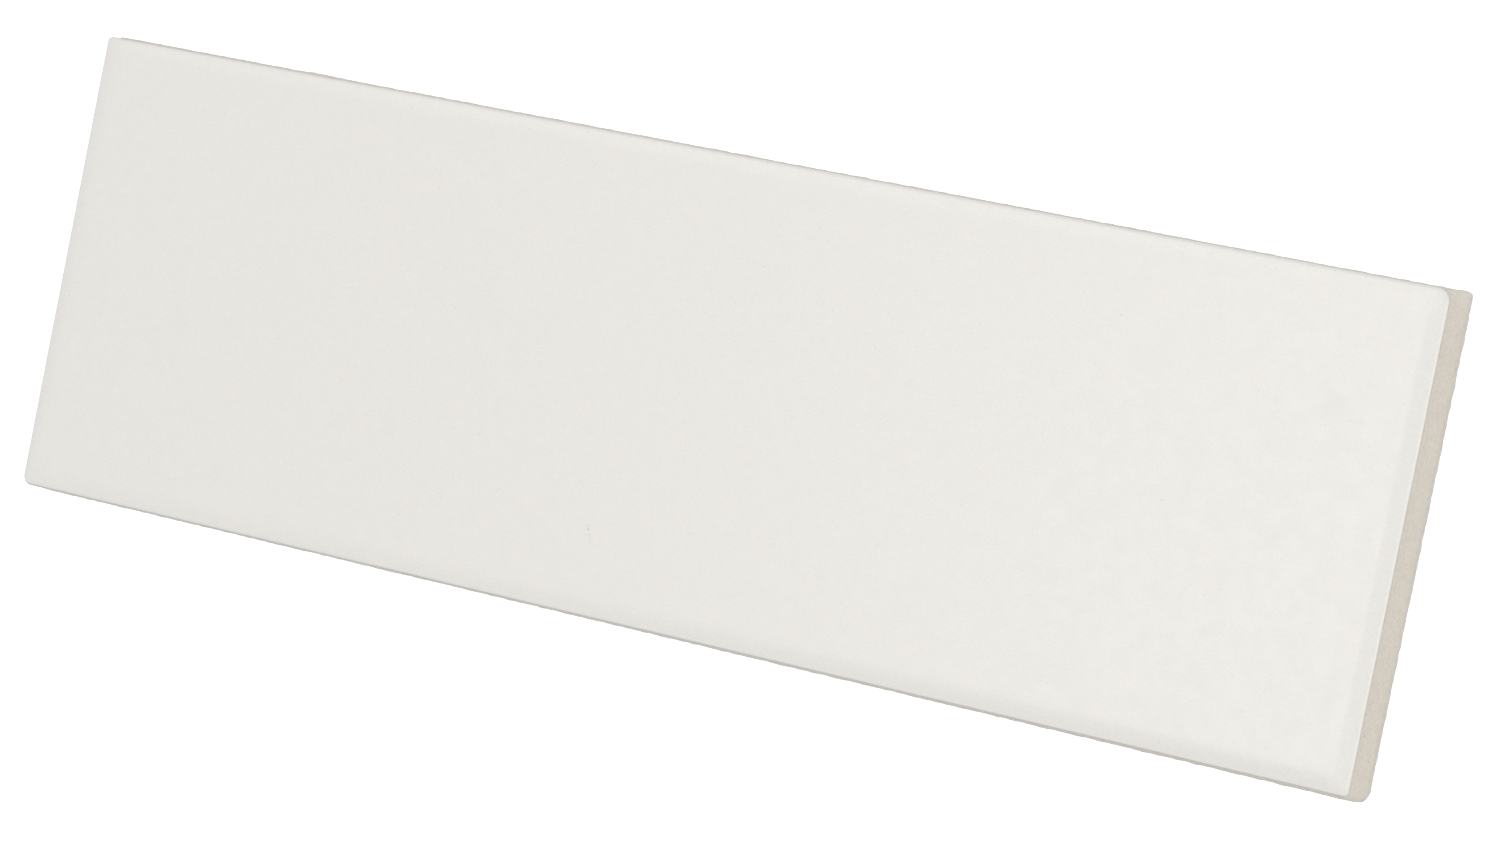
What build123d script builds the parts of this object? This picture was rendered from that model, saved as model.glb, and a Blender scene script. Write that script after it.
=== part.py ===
"""A pressed and glazed ceramic wall tile with a cushioned face edge and a keyed back.

Millimetres, +Z up. The tile lies on its back, with its face up. The origin is the centre of the back,
on the plane that the back's ribs rest on. X runs along the length and Y across the width.
"""

import os
from math import atan, hypot, pi, tan

from build123d import *

# Overall size, measured over the widest part of the body
tile_length = 200.0
tile_width = 65.0
tile_thickness = 8.3

# Plan rounding of the four upright corners of the body
corner_radius = 1.5

# Side walls: an upright band stands on the back, and the wall above it leans in towards the face
back_band_height = 1.9
back_edge_radius = 0.9
wall_lean_in = 0.5

# Face: a flat field, and round it a cushioned slope that drops to a round rim
cushion_width = 2.3
cushion_drop = 0.5
cushion_blend_reach = 0.9
field_corner_radius = 2.4
rim_radius = 0.85

# Back: shallow pockets between crossing ribs, which give the adhesive a key
back_border = 5.0
rib_width = 3.0
pocket_size = 12.0
pocket_depth = 0.6
pocket_wall_slope = 40.0
pocket_corner_radius = 1.5

# Shoulder, where the wall would meet the slope, and the outline of the flat field
shoulder_height = tile_thickness - cushion_drop
shoulder_length = tile_length - 2 * wall_lean_in
shoulder_width = tile_width - 2 * wall_lean_in
field_length = shoulder_length - 2 * cushion_width
field_width = shoulder_width - 2 * cushion_width

# Angles of the slope and the wall, and the radii that the slope has room for
slope_run = hypot(cushion_width, cushion_drop)
slope_angle = atan(cushion_drop / cushion_width)
wall_angle = atan(wall_lean_in / (shoulder_height - back_band_height))
rim_turn = pi / 2 - slope_angle - wall_angle
blend_radius = min(cushion_blend_reach, slope_run / 2) / tan(slope_angle / 2)
rim_radius_used = min(rim_radius, 0.9 * corner_radius, slope_run / 3 / tan(rim_turn / 2))
back_radius_used = min(back_edge_radius, 0.9 * corner_radius, 0.9 * back_band_height)


def pockets_along(side):
    """How many pockets fit along a side of the back, and how long each is to fill it evenly."""
    room = side - 2 * back_border
    count = max(1, round((room + rib_width) / (pocket_size + rib_width)))
    return count, (room - (count - 1) * rib_width) / count


columns, pocket_length = pockets_along(tile_length)
rows, pocket_width = pockets_along(tile_width)


def edges_at_height(part, height):
    """The edges that lie level at one height."""
    return part.edges().filter_by_position(Axis.Z, height - 0.001, height + 0.001)


with BuildPart() as tile:
    # Upright band round the back, at the full size of the tile
    with BuildSketch():
        RectangleRounded(tile_length, tile_width, corner_radius)
    extrude(amount=back_band_height)

    # Wall that leans in from the band to the shoulder
    with BuildSketch(Plane.XY.offset(back_band_height)):
        RectangleRounded(tile_length, tile_width, corner_radius)
    with BuildSketch(Plane.XY.offset(shoulder_height)):
        RectangleRounded(shoulder_length, shoulder_width, corner_radius)
    loft(ruled=True)

    # Cushioned slope that rises from the shoulder to the flat field
    with BuildSketch(Plane.XY.offset(shoulder_height)):
        RectangleRounded(shoulder_length, shoulder_width, corner_radius)
    with BuildSketch(Plane.XY.offset(tile_thickness)):
        RectangleRounded(field_length, field_width, field_corner_radius)
    loft(ruled=True)

    # Soft turn from the slope into the field, the round rim, and the eased edge of the back
    fillet(edges_at_height(tile, tile_thickness), blend_radius)
    fillet(edges_at_height(tile, shoulder_height), rim_radius_used)
    fillet(edges_at_height(tile, 0), back_radius_used)

    # Keyed back: pockets with sloping walls, which leave a border and a grid of ribs
    with BuildSketch():
        with GridLocations(pocket_length + rib_width, pocket_width + rib_width, columns, rows):
            RectangleRounded(pocket_length, pocket_width, pocket_corner_radius)
    extrude(amount=pocket_depth, taper=pocket_wall_slope, mode=Mode.SUBTRACT)

tile.part.label = "tile"

os.makedirs("parts", exist_ok=True)
export_step(tile.part, "parts/tile.step")
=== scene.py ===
"""The looks of an oblong wall tile: a satin off-white glaze over a cream clay body, seen from above.

One closed mesh stands for the tile. It follows the section of the solid, and adds what is too fine for
it: the lip where the glaze ends and its waver, four sides that differ a little, corners slightly out of
square, the rough edge of the clay, a few burrs, and soft edges on the pockets of the back. Sizes are in
millimetres up to the mesh itself.
"""

import math

import bpy
import numpy as np
from mathutils import Matrix, Vector, noise
from mathutils.geometry import delaunay_2d_cdt


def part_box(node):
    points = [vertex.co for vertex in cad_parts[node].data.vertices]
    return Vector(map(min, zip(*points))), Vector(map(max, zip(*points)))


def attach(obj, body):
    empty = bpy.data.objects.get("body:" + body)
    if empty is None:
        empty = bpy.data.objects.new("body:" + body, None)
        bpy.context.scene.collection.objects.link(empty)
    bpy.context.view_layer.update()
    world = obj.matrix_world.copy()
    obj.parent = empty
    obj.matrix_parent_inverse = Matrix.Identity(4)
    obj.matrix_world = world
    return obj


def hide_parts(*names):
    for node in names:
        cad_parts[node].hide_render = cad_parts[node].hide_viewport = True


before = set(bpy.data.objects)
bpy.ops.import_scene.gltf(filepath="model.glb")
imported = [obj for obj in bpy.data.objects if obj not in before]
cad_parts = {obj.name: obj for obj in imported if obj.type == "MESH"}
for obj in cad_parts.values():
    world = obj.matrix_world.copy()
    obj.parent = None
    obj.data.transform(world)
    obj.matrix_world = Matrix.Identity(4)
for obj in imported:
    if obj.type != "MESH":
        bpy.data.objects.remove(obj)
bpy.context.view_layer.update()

# Overall size in millimetres, from the frame
MM = 0.001
tile_low, tile_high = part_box("tile")
TILE_LENGTH, TILE_WIDTH, TILE_THICKNESS = (tile_high - tile_low) / MM

# Section, from the back to the face: insets are from the widest outline of the body
BACK_EDGE_RADIUS = 0.9
BAND_HEIGHT = 1.9
BAND_BLEND_RADIUS = 4.0
WALL_TOP = 7.8
FIELD_EDGE = 6.0

# Each side: how far its wall leans in, its round rim, and the cushioned slope inside the rim: the slope's
# rise over run, how far in it reaches, and how softly it passes into the flat field
SIDES = {
    "right": {"lean_in": 0.72, "rim_radius": 0.85, "slope": 0.215, "reach": 1.6, "softness": 0.25},
    "far": {"lean_in": 0.38, "rim_radius": 0.45, "slope": 0.32, "reach": 1.0, "softness": 0.55},
    "left": {"lean_in": 0.44, "rim_radius": 1.1, "slope": 0.42, "reach": 0.9, "softness": 0.5},
    "near": {"lean_in": 0.62, "rim_radius": 1.0, "slope": 0.29, "reach": 1.3, "softness": 0.55},
}
# What the near side turns into along its length, up to its right end
NEAR_RIGHT_END = {"lean_in": 0.62, "rim_radius": 0.82, "slope": 0.43, "reach": 1.3, "softness": 0.55}

# How far in from the round rim the slope is drawn
SLOPE_RUN = 4.6

# Plan radii of the four upright corners at the body, at the glaze line and at the flat field
CORNERS = {
    "far_right": {"body": 0.7, "glaze": 1.9, "field": 3.2},
    "far_left": {"body": 0.4, "glaze": 0.6, "field": 2.2},
    "near_left": {"body": 1.5, "glaze": 1.2, "field": 2.4},
    "near_right": {"body": 1.6, "glaze": 0.5, "field": 2.0},
}

# Insets from the body's outline at which the radii for the glaze line and for the field hold
GLAZE_INSET = 0.7
FIELD_INSET = 3.4

# How far the tile is out of square: where each corner lies from its true place in X and Y, at the body and
# at the glaze line
SKEW = {
    "far_right": {"body": (0.07, -0.015), "glaze": (0.0, 0.04)},
    "far_left": {"body": (0.0, 0.02), "glaze": (-0.045, -0.07)},
    "near_left": {"body": (0.0, -0.055), "glaze": (0.08, -0.105)},
    "near_right": {"body": (-0.11, 0.025), "glaze": (0.0, 0.085)},
}

# Glaze: where its lip runs, how proud it stands, how the clay dips below it, and how far its line wavers
GLAZE_LINE_HEIGHT = 7.6
LIP_PROUD = 0.06
LIP_ROUNDING = 0.12
LIP_FADE = 1.6
CLAY_RECESS = 0.03
CLAY_RECESS_REACH = 0.3
LINE_WAVER = 0.04
LINE_WAVER_REACH = 0.8
SLOW_WAVER_LENGTH = 11.0
QUICK_WAVER_LENGTH = 3.5
QUICK_WAVER_SHARE = 0.5

# Unevenness of pressing and firing
WALL_ROUGHNESS = 0.025
BAND_ROUGHNESS = 0.08
BAND_PROUD = 0.035
WALL_GRAIN = 0.8
FACE_WAVE = 0.03
FACE_WAVE_LENGTH = 34.0

# Heights over which the clay's relief comes in above the back and goes out below the glaze, and how far
# above the band the band's own roughness goes out
RELIEF_START = (0.05, 0.6)
RELIEF_END = (7.0, 7.5)
BAND_FADE = 1.0

# Burrs along the far wall: (start, end, height on the wall, how far it stands out). Each starts sharply and
# fades towards its end. The first is a bump at the glaze's far left corner.
BURRS = (
    (-99.6, -97.8, 7.2, 0.085),
    (-101.0, -80.0, 3.6, 0.12),
    (-69.8, -63.0, 1.9, 0.1),
    (50.6, 60.6, 1.9, 0.035),
)

# How far to each side of its start a burr rises, how far up and down the wall it spreads, and how squarely
# the outline has to face the far side there
BURR_START = 0.3
BURR_SPREAD = 0.7
FACES_FAR = 0.9

# Colours as a screen shows them
CLAY_WARM = (224, 215, 202)
CLAY_PALE = (226, 220, 210)
CLAY_DUST = (224, 223, 220)
GLAZE_CREAM = (239, 235, 229)
GLAZE_GREY = (235, 234, 229.5)
GLAZE_PINK = (238.5, 234, 230.5)
GLAZE_GREEN = (236, 235.5, 229.5)
# A cooler, darker glaze: a tint towards the left end, and painted shade on the left rim
GLAZE_COOL_AND_PAINTED_SHADE = (229, 229, 227.5)
# Darker colour mixed into the glaze's lower edge as painted shade
GLAZE_EDGE_PAINTED_SHADE = (212, 210, 203)
FLECK_SHADE = (234, 234, 231)

# Noise in the materials: (size of the blotches, detail, seed), and the spread of values that is used
NOISES = {
    "clay_blotches": (0.6, 3.0, 1.0),
    "clay_grain": (0.3, 2.0, 2.0),
    "clay_gloss": (1.4, 2.0, 3.0),
    "clay_lumps": (1.6, 2.0, 4.0),
    "glaze_cream": (0.35, 3.0, 5.0),
    "glaze_cloud": (1.3, 3.0, 6.0),
    "glaze_speckle": (0.25, 1.0, 7.0),
    "glaze_gloss": (2.2, 2.0, 8.0),
    "glaze_ripple": (2.0, 1.0, 9.0),
    "glaze_dimples": (0.8, 2.0, 10.0),
    "glaze_tint": (1.1, 4.0, 11.0),
}
NOISE_SPREAD = (0.3, 0.7)
FINE_SPREAD = (0.25, 0.75)

# Shares of light that noise takes at its lowest and at its highest. A negative share gives light.
GRAIN_SHADE = (0.07, -0.05)
CLOUD_SHADE = (0.005, -0.005)
SPECKLE_SHADE = (0.025, -0.021)

# How much of the pink and green tint is mixed into the glaze
TINT_SHARE = 0.5

# Gloss and fine relief: roughness at the noise's lowest and highest, and bump heights
CLAY_ROUGHNESS = (0.82, 0.95)
CLAY_SPECULAR = 0.25
GLAZE_ROUGHNESS = (0.3, 0.36)
LUMP_HEIGHT = 0.015
GRAIN_HEIGHT = 0.03
RIPPLE_HEIGHT = 0.006
DIMPLE_HEIGHT = 0.004

# Scattered specks: (spacing, radius, share of light that a speck takes)
CLAY_SPECKS = (2.4, 0.17, 0.22)
PINHOLES = (4.2, 0.16, 0.1)
PITS = (1.1, 0.17, 0.05)
GLINTS = (1.2, 0.17, -0.04)

# Parts of the radius of a speck and of a mark that have its full strength
SPECK_CORE = 0.5
MARK_CORE = 0.3

# Bands on the clay, by height: (start, end, share at the start, share at the end)
LOW_DUST = (0.6, 1.7, 1.0, 0.0)
NEAR_WALL_DUST = (5.4, 6.8, 0.3, 0.9)
# Painted shade on the clay for some way below the glaze line
UNDER_GLAZE_PAINTED_SHADE = (5.4, 6.2, 0.0, 0.02)
# Painted shade low on the clay wall, by the back
BACK_BAND_PAINTED_SHADE = (1.4, 2.8, 0.07, 0.0)
FOOT_LIGHT = (0.7, 1.7, -0.06, 0.0)

# Bands along the glaze line, by the distance up from it: (start, end, share at the start, share at the end)
# Painted shade: a dark line on the clay just below the glaze's lip
UNDER_LIP_PAINTED_SHADE = (-0.35, -0.02, 0.0, 0.1)
# Painted shade on the glaze just above its lower edge
LIP_PAINTED_SHADE = (0.05, 0.32, 0.3, 0.0)

# Changes near one edge of the tile: (axis, end of the axis, distances in from that end where the change
# starts and ends, share at the start, share at the end)
FAR_WALL_DUST = ("Y", 1, 1.0, 0.5, 0.0, 0.3)
NEAR_WALL = ("Y", -1, 1.0, 0.5, 0.0, 1.0)
# Painted shade on the far rim of the glaze
FAR_RIM_PAINTED_SHADE = ("Y", 1, 0.7, 0.5, 0.0, 0.035)
# Painted shade on the left rim, which also makes it cooler
LEFT_RIM_PAINTED_SHADE = ("X", -1, 2.0, 0.8, 0.0, 0.33)
LEFT_END_COOL = ("X", -1, 60.0, 0.0, 0.0, 0.08)

# How far in from both ends the looks of the long walls stop, and the painted shade on these walls: a
# share of light on the near one, and a part of the dust's share on the far one
LONG_WALL_ENDS = (3.0, 1.5)
NEAR_WALL_PAINTED_SHADE = 0.04
FAR_WALL_PAINTED_SHADE = 0.11

# Marks on the face and on the right wall: (place, radius, share of light that the mark takes). A negative
# share gives light.
GLAZE_MARKS = (
    ((-10.1, -20.32, 8.3), 0.24, 0.2),
    ((-10.3, -19.91, 8.3), 0.2, 0.11),
    ((-9.9, -21.02, 8.3), 0.2, 0.09),
    ((-9.63, -21.52, 8.3), 0.2, 0.05),
    ((-9.5, -21.78, 8.3), 0.2, 0.05),
    ((-10.5, -21.73, 8.3), 0.3, 0.03),
    ((-19.55, 27.67, 8.3), 0.22, 0.11),
    ((-20.2, 27.75, 8.3), 0.2, 0.09),
    ((-20.23, 27.39, 8.3), 0.18, 0.05),
    ((-19.77, 27.21, 8.3), 0.22, 0.06),
    ((88.12, 15.26, 8.3), 2.6, 0.022),
    ((59.83, 30.45, 8.2), 0.2, 0.11),
    ((41.57, -6.6, 8.3), 0.2, 0.12),
    ((68.04, -0.57, 8.3), 0.2, 0.16),
    ((83.6, -28.16, 8.3), 0.22, 0.11),
    ((-73.58, 4.32, 8.3), 0.2, 0.06),
    ((-42.46, 20.26, 8.3), 0.22, 0.11),
    ((-15.96, 12.16, 8.3), 0.2, 0.06),
    ((57.8, 21.31, 8.3), 0.2, 0.15),
    ((-97.14, -4.67, 8.25), 0.2, 0.14),
    # Painted shade over the far left corner of the face
    ((-96.5, 31.6, 8.0), 3.6, 0.014),
)
CLAY_MARKS = (
    ((99.82, 27.02, 3.38), 0.22, 0.17),
    ((99.99, 22.75, 1.76), 0.25, 0.2),
    ((99.43, -23.87, 6.51), 0.28, 0.22),
    # Painted light on the right wall by its far end
    ((99.5, 32.2, 4.2), 2.7, -0.05),
)

# Flecks of glaze on the right wall, by its far end: (place, radius)
GLAZE_FLECKS = (
    ((98.74, 31.98, 6.62), 0.2),
    ((99.01, 31.86, 6.38), 0.22),
    ((99.09, 32.0, 5.63), 0.22),
    ((99.29, 31.66, 6.06), 0.2),
    ((99.92, 32.03, 2.45), 0.14),
    ((99.99, 32.21, 1.94), 0.16),
    ((100.05, 31.97, 2.08), 0.16),
    ((99.95, 28.73, 2.86), 0.14),
    ((99.92, 28.46, 3.02), 0.14),
    ((99.91, 23.54, 2.98), 0.14),
)

# Back: pockets between ribs
BACK_BORDER = 5.0
RIB_WIDTH = 3.0
POCKET_SIZE = 12.0
POCKET_DEPTH = 0.6
POCKET_SLOPE = math.radians(40)
POCKET_CORNER_RADIUS = 1.5
POCKET_CORNER_LEAST = 0.2
POCKET_EDGE_RADIUS = 0.3

# Lamps: how far each leans from straight above towards +X and +Y in degrees, its distance and size in
# metres, and its power in watts
LAMPS = {
    "above": {"lean": (-12, -5), "distance": 1.5, "size": (0.4, 0.4), "energy": 2.18},
    "above_far": {"lean": (-12, 15), "distance": 1.5, "size": (0.4, 0.6), "energy": 2.39},
    "far_side": {"lean": (-22, 30), "distance": 1.5, "size": (0.9, 0.3), "energy": 1.79},
    "right_side": {"lean": (60, 0), "distance": 1.5, "size": (0.7, 0.5), "energy": 4.5},
}

# The strength of the world's light on the tile
WORLD_LIGHT = 0.576

# Floor: its own colour as a shader takes it, the glow that lifts it to white where it is seen, half its
# side, and how far in from the tile's outline its hole starts
FLOOR_COLOUR = (0.85, 0.85, 0.85, 1)
FLOOR_LIFT = 0.75
FLOOR_REACH = 3000.0
FLOOR_HOLE_INSET = 1.5

# Camera: place and aim in millimetres, its turn about its own axis in degrees, its lens and sensor in
# millimetres, and the distances in metres between which it sees
CAMERA_PLACE = (263.67, 17.898, 560.11)
CAMERA_AIM = (9.712, -1.881, 7.65)
CAMERA_ROLL = -82.718
CAMERA_LENS = 111.352
CAMERA_SENSOR = 36.0
CAMERA_CLIP = (0.01, 20)

# Mesh density in plan: steps along the sides, round the corners and over the field, and how near to the
# field's edge its points come, as a share of a step
SIDE_STEP = 0.45
CORNER_STEPS = 12
FIELD_STEP = 1.4
FIELD_CLEARANCE = 0.7

# Mesh density in section: arc steps and points, and the rings, which are further apart on the clay wall up
# to a distance below the glaze line, and run at their own places across the lip. A section's direction is
# taken between points this far to either side.
WALL_ARC_STEPS = 8
RIM_POINTS = 13
SLOPE_POINTS = 61
RING_STEP = 0.18
WALL_RING_STEP = 0.6
CLOSE_BELOW_LINE = 1.4
LIP_CLEARANCE = 0.3
LIP_RINGS = [-0.22, -0.14, -0.07, -0.025, 0, 0.012, 0.035, 0.07, 0.12, 0.18, 0.25]
NORMAL_REACH = 0.05

# Mesh density of the pockets, and how far away a pocket can be from a point that it holds
POCKET_ARC_STEPS = 3
POCKET_CORNER_STEPS = 4
POCKET_SEARCH = 20.0

# Triangulation: keep only the triangles that the loops enclose, and join points nearer than this
ENCLOSED_ONLY = 1
JOIN_DISTANCE = 1e-5

# Sockets of a Mix node that mixes colours
MIX_SHARE, MIX_FIRST, MIX_SECOND, MIX_RESULT = 0, 6, 7, 2


def rounded_path(points, radii, steps):
    """A polyline in the section plane with its inner corners rounded by arcs."""
    path = [Vector(points[0])]
    for before, corner, after, radius in zip(points, points[1:], points[2:], radii):
        corner = Vector(corner)
        back = (Vector(before) - corner).normalized()
        ahead = (Vector(after) - corner).normalized()
        half = back.angle(ahead) / 2
        centre = corner + (back + ahead).normalized() * radius / math.sin(half)
        reach = radius / math.tan(half)
        start = corner + back * reach - centre
        end = corner + ahead * reach - centre
        for k in range(steps + 1):
            path.append(centre + start.slerp(end, k / steps).normalized() * radius)
    path.append(Vector(points[-1]))
    return np.array([tuple(p) for p in path])


class Section:
    """One side of the tile in section, from the back, up the wall and over the rim to the flat field."""

    def __init__(self, lean_in, rim_radius, slope, reach, softness):
        def below_field(run):
            """How far the slope lies below the field, at a distance in from the rim."""
            return slope * softness * np.log1p(np.exp((reach - run) / softness))

        lean = lean_in / (WALL_TOP - BAND_HEIGHT)
        wall_angle = math.atan(lean)
        slope_angle = math.atan(slope / (1 + math.exp(-reach / softness)))
        rim_drop = below_field(0) - below_field(SLOPE_RUN)
        centre_height = TILE_THICKNESS - rim_drop - rim_radius * math.cos(slope_angle)
        rim_start = centre_height + rim_radius * math.sin(wall_angle)
        wall_corner = (lean * (rim_start - BAND_HEIGHT), rim_start)
        centre_inset = wall_corner[0] + rim_radius * math.cos(wall_angle)
        corners = [(2 * BACK_EDGE_RADIUS, 0), (0, 0), (0, BAND_HEIGHT), wall_corner]
        wall = rounded_path(corners, [BACK_EDGE_RADIUS, BAND_BLEND_RADIUS], WALL_ARC_STEPS)[1:-1]
        turn = np.linspace(wall_angle, math.pi / 2 - slope_angle, RIM_POINTS)
        rim = (centre_inset - rim_radius * np.cos(turn), centre_height + rim_radius * np.sin(turn))
        run = np.linspace(0, SLOPE_RUN, SLOPE_POINTS)[1:]
        rise = TILE_THICKNESS - below_field(run) + below_field(SLOPE_RUN)
        self.inset = np.concatenate([wall[:, 0], rim[0], rim[0][-1] + run, [FIELD_EDGE]])
        self.height = np.concatenate([wall[:, 1], rim[1], rise, [TILE_THICKNESS]])
        runs = np.hypot(np.diff(self.inset), np.diff(self.height))
        self.along = np.concatenate([[0], np.cumsum(runs)])
        self.glaze_line = float(np.interp(GLAZE_LINE_HEIGHT, self.height, self.along))
        self.end = float(self.along[-1])

    def stations(self):
        """Where the rings of the mesh run, as distances from the glaze line."""
        steps = [0.0]
        while steps[-1] < self.end:
            height = np.interp(steps[-1], self.along, self.height)
            on_wall = BAND_HEIGHT < height < GLAZE_LINE_HEIGHT - CLOSE_BELOW_LINE
            steps.append(steps[-1] + (WALL_RING_STEP if on_wall else RING_STEP))
        steps[-1] = self.end
        even = [s - self.glaze_line for s in steps if abs(s - self.glaze_line) > LIP_CLEARANCE]
        return sorted(even + LIP_RINGS)

    def at(self, from_line, typical):
        """Insets, heights and outward normals. Distances are stretched from those of a typical section."""
        up = (self.end - self.glaze_line) / (typical.end - typical.glaze_line)
        down = self.glaze_line / typical.glaze_line
        along = self.glaze_line + np.where(from_line > 0, from_line * up, from_line * down)
        inset = np.interp(along, self.along, self.inset)
        height = np.interp(along, self.along, self.height)
        ahead, behind = along + NORMAL_REACH, along - NORMAL_REACH
        run = np.interp(ahead, self.along, self.inset) - np.interp(behind, self.along, self.inset)
        rise = np.interp(ahead, self.along, self.height) - np.interp(behind, self.along, self.height)
        size = np.hypot(run, rise)
        return np.array([inset, height, -rise / size, run / size])


def lip_height(from_line):
    """How far the surface stands out near the glaze line: clay below it, the rolled glaze above it."""
    clay = -CLAY_RECESS * math.exp(min(from_line, 0) / CLAY_RECESS_REACH)
    rise = min(max(from_line / LIP_ROUNDING, 0), 1)
    rolled = math.sqrt(1 - (1 - rise) ** 2)
    glaze = LIP_PROUD * math.exp(-max(from_line, 0) / LIP_FADE)
    return clay + (glaze + CLAY_RECESS * math.exp(-max(from_line, 0) / LIP_ROUNDING)) * rolled


class Outline:
    """The plan outline of the tile as points that keep their place on it, whatever the inset."""

    ORDER = ("near_right", "far_right", "far_left", "near_left")
    SIGNS = {"near_right": (1, -1), "far_right": (1, 1), "far_left": (-1, 1), "near_left": (-1, -1)}

    def __init__(self):
        corner, following, share, turn = [], [], [], []
        for k, name in enumerate(self.ORDER):
            start_angle = -math.pi / 2 + k * math.pi / 2
            for step in range(CORNER_STEPS):
                corner.append(name)
                following.append(name)
                share.append(0.0)
                turn.append(start_angle + step / CORNER_STEPS * math.pi / 2)
            side = TILE_WIDTH if k % 2 == 0 else TILE_LENGTH
            count = round(side / SIDE_STEP)
            for step in range(count):
                corner.append(name)
                following.append(self.ORDER[(k + 1) % 4])
                share.append(step / count)
                turn.append(start_angle + math.pi / 2)
        self.corner, self.following = corner, following
        self.share, self.turn = np.array(share), np.array(turn)
        self.nx, self.ny = np.cos(self.turn), np.sin(self.turn)
        self.count = len(corner)

    def corner_points(self, names, insets):
        """The points on the corner arcs, for the corner named at each place."""
        sx = np.array([self.SIGNS[n][0] for n in names])
        sy = np.array([self.SIGNS[n][1] for n in names])
        inset_x = np.where(sx > 0, insets["right"], insets["left"])
        inset_y = np.where(sy > 0, insets["far"], insets["near"])
        middle = (inset_x + inset_y) / 2
        known = [0, GLAZE_INSET, FIELD_INSET]
        radius, skew_x, skew_y = np.zeros((3, self.count))
        for name, radii in CORNERS.items():
            here = np.array(names) == name
            radius[here] = np.interp(middle[here], known, [radii["body"], radii["glaze"], radii["field"]])
            for skew, body, glaze in zip((skew_x, skew_y), SKEW[name]["body"], SKEW[name]["glaze"]):
                skew[here] = np.interp(middle[here], known, [body, glaze, 0])
        x = sx * (TILE_LENGTH / 2 - inset_x - radius) + radius * self.nx + skew_x
        y = sy * (TILE_WIDTH / 2 - inset_y - radius) + radius * self.ny + skew_y
        return x, y

    def at(self, insets):
        """The outline's points. Each side has its own insets, which may differ from place to place."""
        x0, y0 = self.corner_points(self.corner, insets)
        x1, y1 = self.corner_points(self.following, insets)
        return x0 + (x1 - x0) * self.share, y0 + (y1 - y0) * self.share

    def side_shares(self):
        """How much each point belongs to each side: all to one along the sides, shared in the corners."""
        return {
            "right": np.maximum(self.nx, 0) ** 2,
            "far": np.maximum(self.ny, 0) ** 2,
            "left": np.maximum(-self.nx, 0) ** 2,
            "near": np.maximum(-self.ny, 0) ** 2,
        }


def waver(x, y, length, seed):
    """Smooth noise from -1 to 1 over the plan, with this wave length in millimetres."""
    return np.array([noise.noise(Vector((a / length, b / length, seed))) for a, b in zip(x, y)])


def smooth_step(value, low, high):
    """0 up to the low value, 1 from the high one on, and a smooth rise between them."""
    t = np.clip((value - low) / (high - low), 0, 1)
    return t * t * (3 - 2 * t)


def face_wave(x, y):
    """The slow unevenness of the glazed face, in millimetres, never above the nominal thickness."""
    return FACE_WAVE * (waver(x, y, FACE_WAVE_LENGTH, 4.0) - 1) / 2


class MeshData:
    """Points, how far each is from the glaze line, faces and their materials, before the mesh is made."""

    def __init__(self):
        self.points, self.from_lines, self.faces, self.kinds = [], [], [], []

    def add_points(self, x, y, z, from_line):
        """New points, and how far up the surface they are from the glaze line."""
        start = len(self.points)
        self.points += list(zip(map(float, x), map(float, y), map(float, z)))
        self.from_lines += [float(from_line)] * (len(self.points) - start)
        return list(range(start, len(self.points)))

    def add_face(self, face, kind):
        self.faces.append(face)
        self.kinds.append(kind)

    def bridge(self, outer, inner, kind):
        """Quads between two closed rings with as many points."""
        for j in range(len(outer)):
            k = (j + 1) % len(outer)
            self.add_face((outer[j], outer[k], inner[k], inner[j]), kind)


# Material slots of the mesh
CLAY, GLAZE = 0, 1


def wall_relief(outline, rim_x, rim_y, height, station):
    """How far the clay wall stands out: the grain of pressed clay, and the burrs on the far wall."""
    above_back = smooth_step(height, *RELIEF_START)
    on_wall = above_back * (1 - smooth_step(height, *RELIEF_END))
    places = zip(rim_x / WALL_GRAIN, rim_y / WALL_GRAIN)
    grain = np.array([noise.noise(Vector((a, b, station / WALL_GRAIN))) for a, b in places])
    on_band = above_back * (1 - smooth_step(height, BAND_HEIGHT, BAND_HEIGHT + BAND_FADE))
    relief = (on_wall * WALL_ROUGHNESS + on_band * BAND_ROUGHNESS) * grain + on_band * BAND_PROUD
    for start, end, level, tall in BURRS:
        begun = smooth_step(rim_x, start - BURR_START, start + BURR_START)
        inside = begun * (1 - smooth_step(rim_x, (start + end) / 2, end))
        across = np.exp(-((height - level) / BURR_SPREAD) ** 2)
        relief += tall * inside * (outline.ny > FACES_FAR) * across
    return relief


def add_sides(data, outline):
    """The rings from the back to the field. Returns the first ring and the last."""
    sections = {side: Section(**shape) for side, shape in SIDES.items()}
    near_right_end = Section(**NEAR_RIGHT_END)
    typical = sections["far"]
    shares = outline.side_shares()
    rim_x, rim_y = outline.at({side: np.zeros(outline.count) for side in SIDES})
    slow = waver(rim_x, rim_y, SLOW_WAVER_LENGTH, 1.0)
    quick = waver(rim_x, rim_y, QUICK_WAVER_LENGTH, 2.0)
    line_waver = LINE_WAVER * (slow + QUICK_WAVER_SHARE * quick)
    rightwards = 0.5 + rim_x / TILE_LENGTH
    rings = []
    for station in typical.stations():
        near_line = math.exp(-((station / LINE_WAVER_REACH) ** 2))
        shifted = station + line_waver * near_line
        parts = {side: section.at(shifted, typical) for side, section in sections.items()}
        parts["near"] += (near_right_end.at(shifted, typical) - parts["near"]) * rightwards
        _, height, _, out_height = sum(parts[side] * share for side, share in shares.items())
        proud = lip_height(station) + wall_relief(outline, rim_x, rim_y, height, station)
        height = height + out_height * proud
        x, y = outline.at({side: inset + out * proud for side, (inset, _, out, _) in parts.items()})
        height = height + face_wave(x, y) * smooth_step(height, GLAZE_LINE_HEIGHT, TILE_THICKNESS)
        rings.append((station, data.add_points(x, y, height, station)))
    for (station, ring), (_, following) in zip(rings, rings[1:]):
        data.bridge(ring, following, GLAZE if station >= 0 else CLAY)
    return rings[0][1], rings[-1][1]


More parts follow.
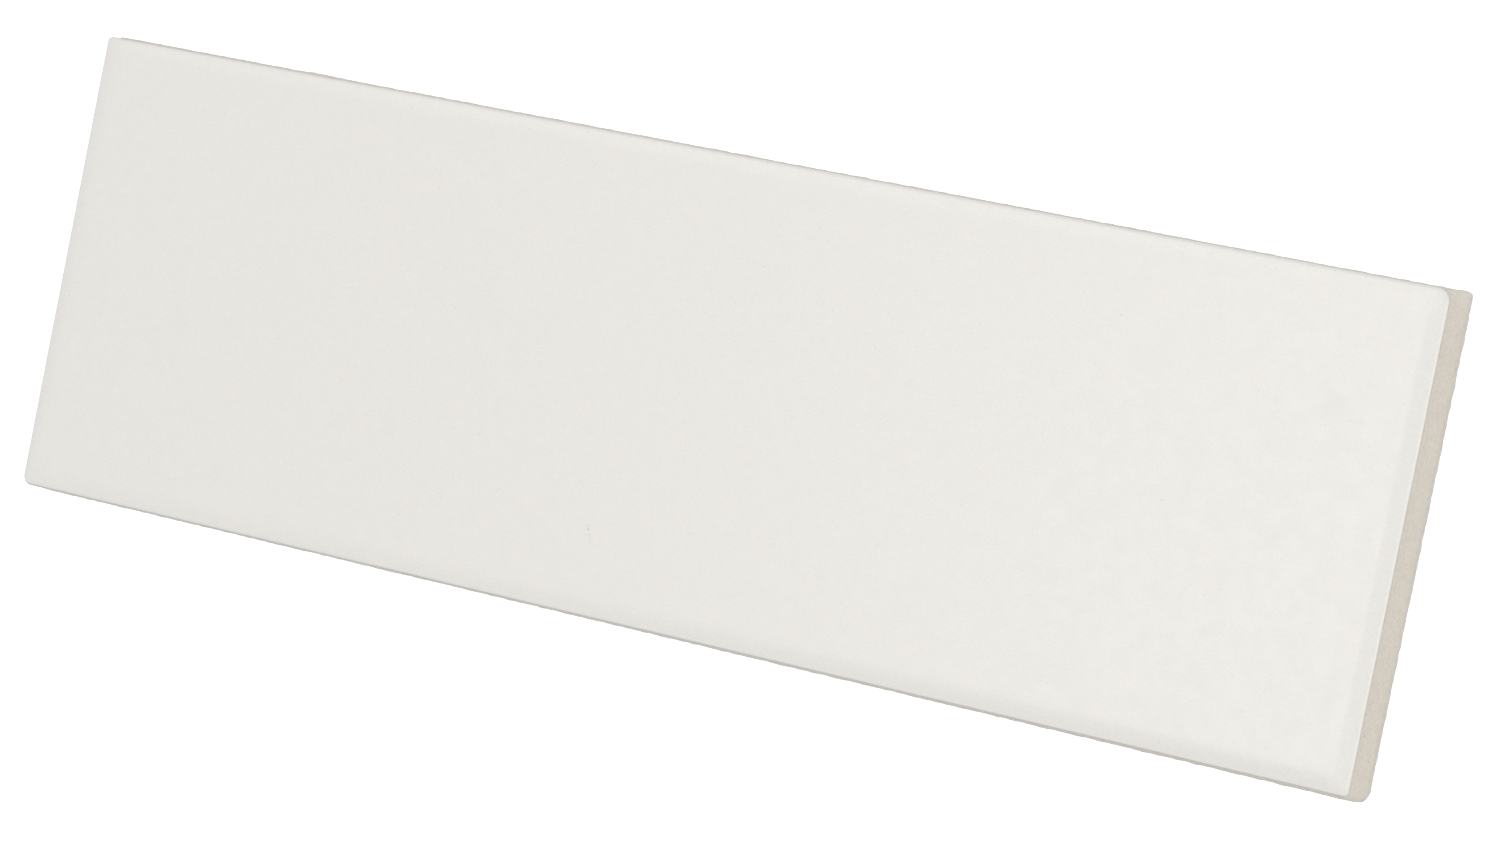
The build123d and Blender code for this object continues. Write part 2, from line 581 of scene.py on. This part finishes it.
def fill(data, loops, inner_points, height_at, kind, keep, flip=False):
    """Triangles between closed loops of points that the mesh has, over extra points inside them.

    Only triangles whose middle passes the keep test are made. The mesh gets the extra points at the height
    that height_at gives.
    """
    inner_from_line = data.from_lines[loops[0][0]]
    flat = [Vector(data.points[i][:2]) for loop in loops for i in loop]
    known = [i for loop in loops for i in loop]
    edges, start = [], 0
    for loop in loops:
        edges += [(start + j, start + (j + 1) % len(loop)) for j in range(len(loop))]
        start += len(loop)
    flat += [Vector(p) for p in inner_points]
    made = delaunay_2d_cdt(flat, edges, [], ENCLOSED_ONLY, JOIN_DISTANCE)
    points, faces, origins = made[0], made[2], made[3]
    index = []
    for point, source in zip(points, origins):
        loop_points = [s for s in source if s < len(known)]
        if loop_points:
            index.append(known[loop_points[0]])
        else:
            height = height_at(point.x, point.y)
            index += data.add_points([point.x], [point.y], [height], inner_from_line)
    for face in faces:
        middle = sum((points[i] for i in face), Vector((0, 0))) / len(face)
        if keep(middle.x, middle.y):
            corners = [index[i] for i in face]
            data.add_face(tuple(reversed(corners)) if flip else tuple(corners), kind)


def inside_loop(loop):
    """A test of whether a plan point lies inside a loop of plan points."""
    xs, ys = np.array(loop).T

    def test(x, y):
        ahead_x, ahead_y = np.roll(xs, -1), np.roll(ys, -1)
        crosses = (ys > y) != (ahead_y > y)
        with np.errstate(divide="ignore", invalid="ignore"):
            at = xs + (y - ys) / (ahead_y - ys) * (ahead_x - xs)
        return bool(np.sum(crosses & (x < at)) % 2)

    return test


def add_field(data, ring):
    """The flat field of the face, with points on a grid so that it can carry the face's waves."""
    loop = [data.points[i][:2] for i in ring]
    xs, ys = np.array(loop).T
    columns = np.arange(xs.min(), xs.max(), FIELD_STEP)
    rows = np.arange(ys.min(), ys.max(), FIELD_STEP)
    inside = inside_loop(loop)
    grid = [
        (x, y) for x in columns for y in rows
        if inside(x, y) and np.hypot(xs - x, ys - y).min() > FIELD_CLEARANCE * FIELD_STEP
    ]

    def height_at(x, y):
        return TILE_THICKNESS + float(face_wave([x], [y])[0])

    fill(data, [ring], grid, height_at, GLAZE, lambda x, y: True)


def pockets_along(side):
    """How many pockets lie along a side of the back, and how long each is."""
    room = side - 2 * BACK_BORDER
    count = max(1, round((room + RIB_WIDTH) / (POCKET_SIZE + RIB_WIDTH)))
    return count, (room - (count - 1) * RIB_WIDTH) / count


def pocket_ring(cx, cy, length, width, inset):
    """A rounded rectangle in plan, anticlockwise from above, for one pocket of the back."""
    radius = max(POCKET_CORNER_RADIUS - inset, POCKET_CORNER_LEAST)
    half_x, half_y = length / 2 - inset - radius, width / 2 - inset - radius
    ring = []
    for k, (sx, sy) in enumerate(((1, 1), (-1, 1), (-1, -1), (1, -1))):
        for step in range(POCKET_CORNER_STEPS + 1):
            angle = (k + step / POCKET_CORNER_STEPS) * math.pi / 2
            x = cx + sx * half_x + radius * math.cos(angle)
            y = cy + sy * half_y + radius * math.sin(angle)
            ring.append((x, y))
    return ring


def add_back(data, ring):
    """The back: a flat border and ribs, and pockets with sloping walls and soft edges."""
    columns, length = pockets_along(TILE_LENGTH)
    rows, width = pockets_along(TILE_WIDTH)
    slope_run = POCKET_DEPTH * math.tan(POCKET_SLOPE)
    # The first and the last point only give the edges their directions
    lead = 1.0
    corners = [(-lead, 0), (0, 0), (slope_run, POCKET_DEPTH), (slope_run + lead, POCKET_DEPTH)]
    profile = rounded_path(corners, [POCKET_EDGE_RADIUS, POCKET_EDGE_RADIUS], POCKET_ARC_STEPS)[1:-1]
    back_from_line = data.from_lines[ring[0]]
    mouths = []
    for i in range(columns):
        for j in range(rows):
            cx = (i - (columns - 1) / 2) * (length + RIB_WIDTH)
            cy = (j - (rows - 1) / 2) * (width + RIB_WIDTH)
            rings = []
            for inset, height in profile:
                xs, ys = np.array(pocket_ring(cx, cy, length, width, inset)).T
                rings.append(data.add_points(xs, ys, np.full(len(xs), height), back_from_line))
            for outer, inner in zip(rings, rings[1:]):
                data.bridge([*reversed(outer)], [*reversed(inner)], CLAY)
            data.add_face(tuple(reversed(rings[-1])), CLAY)
            mouths.append(rings[0])
    mouth_tests = [(data.points[m[0]], inside_loop([data.points[i][:2] for i in m])) for m in mouths]

    def on_rib(x, y):
        for point, inside in mouth_tests:
            if max(abs(point[0] - x), abs(point[1] - y)) < POCKET_SEARCH and inside(x, y):
                return False
        return True

    fill(data, [ring, *mouths], [], None, CLAY, on_rib, flip=True)


def make_tile():
    """The tile as one closed mesh, with a clay material and a glaze material."""
    data = MeshData()
    back_ring, field_ring = add_sides(data, Outline())
    add_field(data, field_ring)
    add_back(data, back_ring)
    mesh = bpy.data.meshes.new("glazed_tile")
    mesh.from_pydata([Vector(p) * MM for p in data.points], [], data.faces)
    mesh.polygons.foreach_set("material_index", data.kinds)
    mesh.polygons.foreach_set("use_smooth", [True] * len(data.faces))
    from_line = mesh.attributes.new("from_glaze_line", "FLOAT", "POINT")
    from_line.data.foreach_set("value", data.from_lines)
    mesh.update()
    tile = bpy.data.objects.new("glazed_tile", mesh)
    bpy.context.scene.collection.objects.link(tile)
    return tile


def colour(red, green, blue):
    """An 8-bit screen colour as the linear one that a shader takes, by the sRGB curve."""
    screen = (red / 255, green / 255, blue / 255)
    linear = [v / 12.92 if v <= 0.04045 else ((v + 0.055) / 1.055) ** 2.4 for v in screen]
    return (*linear, 1)


class Shading:
    """A material's nodes, with short calls for the ones that the tile's materials use."""

    def __init__(self, name):
        self.material = bpy.data.materials.new(name)
        self.material.use_nodes = True
        self.nodes = self.material.node_tree.nodes
        self.links = self.material.node_tree.links
        self.shader = self.nodes["Principled BSDF"]
        self.place = self.nodes.new("ShaderNodeTexCoord").outputs["Object"]

    def put(self, value, socket):
        """Feeds a socket from another one, or sets it to a plain value."""
        if isinstance(value, bpy.types.NodeSocket):
            self.links.new(value, socket)
        else:
            socket.default_value = value

    def along(self, axis):
        """The place along an axis, in millimetres."""
        split = self.nodes.new("ShaderNodeSeparateXYZ")
        self.links.new(self.place, split.inputs[0])
        return self.maths("DIVIDE", split.outputs[axis], MM)

    def from_glaze_line(self):
        """The distance up the surface from the glaze line, in millimetres."""
        node = self.nodes.new("ShaderNodeAttribute")
        node.attribute_name = "from_glaze_line"
        return node.outputs["Fac"]

    def maths(self, operation, a, b=0.0):
        node = self.nodes.new("ShaderNodeMath")
        node.operation = operation
        self.put(a, node.inputs[0])
        self.put(b, node.inputs[1])
        return node.outputs[0]

    def ramp(self, value, low, high, at_low=0.0, at_high=1.0):
        """A smooth change from one value to another while the input goes from low to high."""
        node = self.nodes.new("ShaderNodeMapRange")
        node.interpolation_type = "SMOOTHSTEP"
        settings = {"Value": value, "From Min": low, "From Max": high, "To Min": at_low, "To Max": at_high}
        for name, setting in settings.items():
            self.put(setting, node.inputs[name])
        return node.outputs["Result"]

    def by_edge(self, axis, end, start, finish, at_start, at_finish):
        """A smooth change between two distances in from the +1 or the -1 end of an axis of the tile."""
        half = (TILE_LENGTH if axis == "X" else TILE_WIDTH) / 2
        if end > 0:
            return self.ramp(self.along(axis), half - start, half - finish, at_start, at_finish)
        return self.ramp(self.along(axis), finish - half, start - half, at_finish, at_start)

    def noise(self, name):
        """Noise about 0.5, by its name in the table of noises."""
        size, detail, seed = NOISES[name]
        node = self.nodes.new("ShaderNodeTexNoise")
        node.noise_dimensions = "4D"
        node.inputs["W"].default_value = seed
        node.inputs["Scale"].default_value = 1 / (size * MM)
        node.inputs["Detail"].default_value = detail
        self.links.new(self.place, node.inputs["Vector"])
        return node.outputs["Fac"]

    def specks(self, spacing, radius, depth):
        """The depth in small scattered specks and 0 between them.

        The specks lie in space at about this spacing, so only a few of them reach the surface.
        """
        node = self.nodes.new("ShaderNodeTexVoronoi")
        node.inputs["Scale"].default_value = 1 / (spacing * MM)
        self.links.new(self.place, node.inputs["Vector"])
        core, edge = SPECK_CORE * radius / spacing, radius / spacing
        return self.maths("MULTIPLY", self.ramp(node.outputs["Distance"], core, edge, 1.0, 0.0), depth)

    def spot(self, place, radius):
        """1 at a place, in millimetres, and 0 beyond the radius."""
        node = self.nodes.new("ShaderNodeVectorMath")
        node.operation = "DISTANCE"
        self.links.new(self.place, node.inputs[0])
        node.inputs[1].default_value = Vector(place) * MM
        return self.ramp(node.outputs["Value"], MARK_CORE * radius * MM, radius * MM, 1.0, 0.0)

    def marks(self, marks):
        """The share of light that each mark takes."""
        return [self.maths("MULTIPLY", self.spot(place, radius), depth) for place, radius, depth in marks]

    def mix(self, share, a, b):
        node = self.nodes.new("ShaderNodeMix")
        node.data_type = "RGBA"
        self.put(share, node.inputs[MIX_SHARE])
        self.put(a, node.inputs[MIX_FIRST])
        self.put(b, node.inputs[MIX_SECOND])
        return node.outputs[MIX_RESULT]

    def darkened(self, shade, amounts):
        """A colour with each amount of its light taken away in turn."""
        for amount in amounts:
            node = self.nodes.new("ShaderNodeVectorMath")
            node.operation = "SCALE"
            self.put(shade, node.inputs[0])
            self.put(self.maths("SUBTRACT", 1.0, amount), node.inputs["Scale"])
            shade = node.outputs[0]
        return shade

    def relief(self, layers):
        """Bump from layers of (noise, height in millimetres)."""
        normal = None
        for value, tall in layers:
            node = self.nodes.new("ShaderNodeBump")
            node.inputs["Distance"].default_value = tall * MM
            self.links.new(value, node.inputs["Height"])
            if normal:
                self.links.new(normal, node.inputs["Normal"])
            normal = node.outputs["Normal"]
        self.links.new(normal, self.shader.inputs["Normal"])


def make_clay():
    """Bare cream clay: fine grain, dark specks and marks, flecks of glaze, and bands of painted shade under
    the glaze and low at the back.

    The long walls are dusty and carry painted shade, the foot is paler at both ends of the tile, and a
    broad patch of painted light lies on the right wall by its far end.
    """
    s = Shading("bare_clay")
    blotches = s.ramp(s.noise("clay_blotches"), *NOISE_SPREAD)
    body = s.mix(blotches, colour(*CLAY_WARM), colour(*CLAY_PALE))
    height = s.along("Z")
    from_middle = s.maths("ABSOLUTE", s.along("X"))
    ends_start, ends_finish = (TILE_LENGTH / 2 - inset for inset in LONG_WALL_ENDS)
    off_ends = s.ramp(from_middle, ends_start, ends_finish, 1.0, 0.0)
    far_wall = s.maths("MULTIPLY", s.by_edge(*FAR_WALL_DUST), off_ends)
    near_wall = s.maths("MULTIPLY", s.by_edge(*NEAR_WALL), off_ends)
    near_dust = s.maths("MULTIPLY", near_wall, s.ramp(height, *NEAR_WALL_DUST))
    dust = s.maths("MAXIMUM", s.maths("MAXIMUM", far_wall, near_dust), s.ramp(height, *LOW_DUST))
    body = s.mix(dust, body, colour(*CLAY_DUST))
    grain = s.noise("clay_grain")
    at_ends = s.maths("SUBTRACT", 1.0, off_ends)
    tones_and_painted_shades = [
        s.ramp(grain, *FINE_SPREAD, *GRAIN_SHADE),
        # painted shade on the clay below the glaze line
        s.ramp(height, *UNDER_GLAZE_PAINTED_SHADE),
        # painted shade low on the wall, by the back
        s.ramp(height, *BACK_BAND_PAINTED_SHADE),
        s.maths("MULTIPLY", s.ramp(height, *FOOT_LIGHT), at_ends),
        # painted shade on the near and the far wall
        s.maths("MULTIPLY", near_wall, NEAR_WALL_PAINTED_SHADE),
        s.maths("MULTIPLY", far_wall, FAR_WALL_PAINTED_SHADE),
        # painted shade just below the glaze's lip
        s.ramp(s.from_glaze_line(), *UNDER_LIP_PAINTED_SHADE),
        s.specks(*CLAY_SPECKS),
    ]
    body = s.darkened(body, tones_and_painted_shades + s.marks(CLAY_MARKS))
    for place, radius in GLAZE_FLECKS:
        body = s.mix(s.spot(place, radius), body, colour(*FLECK_SHADE))
    s.put(body, s.shader.inputs["Base Color"])
    roughness = s.ramp(s.noise("clay_gloss"), *NOISE_SPREAD, *CLAY_ROUGHNESS)
    s.put(roughness, s.shader.inputs["Roughness"])
    s.shader.inputs["Specular IOR Level"].default_value = CLAY_SPECULAR
    s.relief([(s.noise("clay_lumps"), LUMP_HEIGHT), (grain, GRAIN_HEIGHT)])
    return s.material


def make_glaze():
    """Satin off-white glaze: faint tints and mottling, a few pinholes and marks, and a lower edge darkened
    by painted shade.

    It is a little cooler towards the left end. Painted shade darkens the left rim, the far rim a little,
    and a broad patch at the far left corner.
    """
    s = Shading("satin_glaze")
    cream = s.ramp(s.noise("glaze_cream"), *NOISE_SPREAD)
    cream = s.mix(cream, colour(*GLAZE_CREAM), colour(*GLAZE_GREY))
    tint = s.ramp(s.noise("glaze_tint"), *NOISE_SPREAD)
    tint = s.mix(tint, colour(*GLAZE_PINK), colour(*GLAZE_GREEN))
    coat = s.mix(TINT_SHARE, cream, tint)
    # cooler towards the left end, and painted shade on the left rim
    cool_and_painted_shade = s.maths("MAXIMUM", s.by_edge(*LEFT_RIM_PAINTED_SHADE), s.by_edge(*LEFT_END_COOL))
    coat = s.mix(cool_and_painted_shade, coat, colour(*GLAZE_COOL_AND_PAINTED_SHADE))
    tones_and_painted_shades = [
        s.ramp(s.noise("glaze_cloud"), *NOISE_SPREAD, *CLOUD_SHADE),
        s.ramp(s.noise("glaze_speckle"), *FINE_SPREAD, *SPECKLE_SHADE),
        s.specks(*PINHOLES),
        s.specks(*PITS),
        s.specks(*GLINTS),
        # painted shade on the far rim
        s.by_edge(*FAR_RIM_PAINTED_SHADE),
    ]
    coat = s.darkened(coat, tones_and_painted_shades + s.marks(GLAZE_MARKS))
    # painted shade on the glaze just above its lower edge
    coat = s.mix(s.ramp(s.from_glaze_line(), *LIP_PAINTED_SHADE), coat, colour(*GLAZE_EDGE_PAINTED_SHADE))
    s.put(coat, s.shader.inputs["Base Color"])
    roughness = s.ramp(s.noise("glaze_gloss"), *NOISE_SPREAD, *GLAZE_ROUGHNESS)
    s.put(roughness, s.shader.inputs["Roughness"])
    s.relief([(s.noise("glaze_ripple"), RIPPLE_HEIGHT), (s.noise("glaze_dimples"), DIMPLE_HEIGHT)])
    return s.material


def where_seen(nodes, links):
    """1 for rays from the camera, in reflections and through glass, and 0 for diffuse light."""
    path = nodes.new("ShaderNodeLightPath")
    seen = path.outputs["Is Camera Ray"]
    for name in ("Is Glossy Ray", "Is Transmission Ray"):
        either = nodes.new("ShaderNodeMath")
        either.operation = "MAXIMUM"
        links.new(seen, either.inputs[0])
        links.new(path.outputs[name], either.inputs[1])
        seen = either.outputs[0]
    return seen


def make_floor():
    """A pale level floor that is clear from below and keeps the tile's shadow.

    It has a hole where the tile lies, so that the back gets light in views from below.
    """
    turns = ((-1, -1), (1, -1), (1, 1), (-1, 1))
    hole_x, hole_y = TILE_LENGTH / 2 - FLOOR_HOLE_INSET, TILE_WIDTH / 2 - FLOOR_HOLE_INSET
    outer = [(x * FLOOR_REACH, y * FLOOR_REACH, 0) for x, y in turns]
    inner = [(x * hole_x, y * hole_y, 0) for x, y in turns]
    mesh = bpy.data.meshes.new("floor")
    faces = [(k, (k + 1) % 4, 4 + (k + 1) % 4, 4 + k) for k in range(4)]
    mesh.from_pydata([Vector(p) * MM for p in outer + inner], [], faces)
    floor = bpy.data.objects.new("floor", mesh)
    bpy.context.scene.collection.objects.link(floor)
    s = Shading("floor_paint")
    nodes, links, shader = s.nodes, s.links, s.shader
    shader.inputs["Base Color"].default_value = FLOOR_COLOUR
    shader.inputs["Roughness"].default_value = 1.0
    output = nodes["Material Output"]
    lift = nodes.new("ShaderNodeEmission")
    strength = s.maths("MULTIPLY", where_seen(nodes, links), FLOOR_LIFT)
    links.new(strength, lift.inputs["Strength"])
    both = nodes.new("ShaderNodeAddShader")
    links.new(shader.outputs[0], both.inputs[0])
    links.new(lift.outputs[0], both.inputs[1])
    geometry = nodes.new("ShaderNodeNewGeometry")
    clear = nodes.new("ShaderNodeBsdfTransparent")
    side = nodes.new("ShaderNodeMixShader")
    links.new(geometry.outputs["Backfacing"], side.inputs[0])
    links.new(both.outputs[0], side.inputs[1])
    links.new(clear.outputs[0], side.inputs[2])
    links.new(side.outputs[0], output.inputs["Surface"])
    mesh.materials.append(s.material)


def make_world():
    """Even white light, and a white background where the camera, a reflection or glass shows it."""
    world = bpy.data.worlds.new("studio")
    bpy.context.scene.world = world
    world.use_nodes = True
    nodes, links = world.node_tree.nodes, world.node_tree.links
    background = nodes["Background"]
    background.inputs["Color"].default_value = (1, 1, 1, 1)
    strength = nodes.new("ShaderNodeMapRange")
    strength.inputs["To Min"].default_value = WORLD_LIGHT
    strength.inputs["To Max"].default_value = 1.0
    links.new(where_seen(nodes, links), strength.inputs["Value"])
    links.new(strength.outputs["Result"], background.inputs["Strength"])


def make_lamp(name, lean, distance, size, energy):
    """A soft rectangular lamp that faces the middle of the tile."""
    light = bpy.data.lights.new(name, "AREA")
    light.shape = "RECTANGLE"
    light.size, light.size_y = size
    light.energy = energy
    lamp = bpy.data.objects.new(name, light)
    towards = Vector((math.tan(math.radians(lean[0])), math.tan(math.radians(lean[1])), 1)).normalized()
    lamp.location = towards * distance
    lamp.rotation_euler = (-towards).to_track_quat("-Z", "Y").to_euler()
    bpy.context.scene.collection.objects.link(lamp)


def make_camera():
    """The camera: a long lens that looks down on the tile from beyond its right end."""
    camera_data = bpy.data.cameras.new("camera")
    camera_data.lens = CAMERA_LENS
    camera_data.sensor_width = CAMERA_SENSOR
    camera_data.clip_start, camera_data.clip_end = CAMERA_CLIP
    camera = bpy.data.objects.new("camera", camera_data)
    camera.location = Vector(CAMERA_PLACE) * MM
    view = (Vector(CAMERA_AIM) - Vector(CAMERA_PLACE)).to_track_quat("-Z", "Y").to_matrix()
    camera.rotation_euler = (view @ Matrix.Rotation(math.radians(CAMERA_ROLL), 3, "Z")).to_euler()
    bpy.context.scene.collection.objects.link(camera)
    bpy.context.scene.camera = camera


tile = make_tile()
tile.data.materials.append(make_clay())
tile.data.materials.append(make_glaze())
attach(tile, "root")
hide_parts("tile")

make_floor()
make_world()
for lamp_name, lamp in LAMPS.items():
    make_lamp(lamp_name, **lamp)
make_camera()
bpy.context.scene.view_settings.view_transform = "Standard"
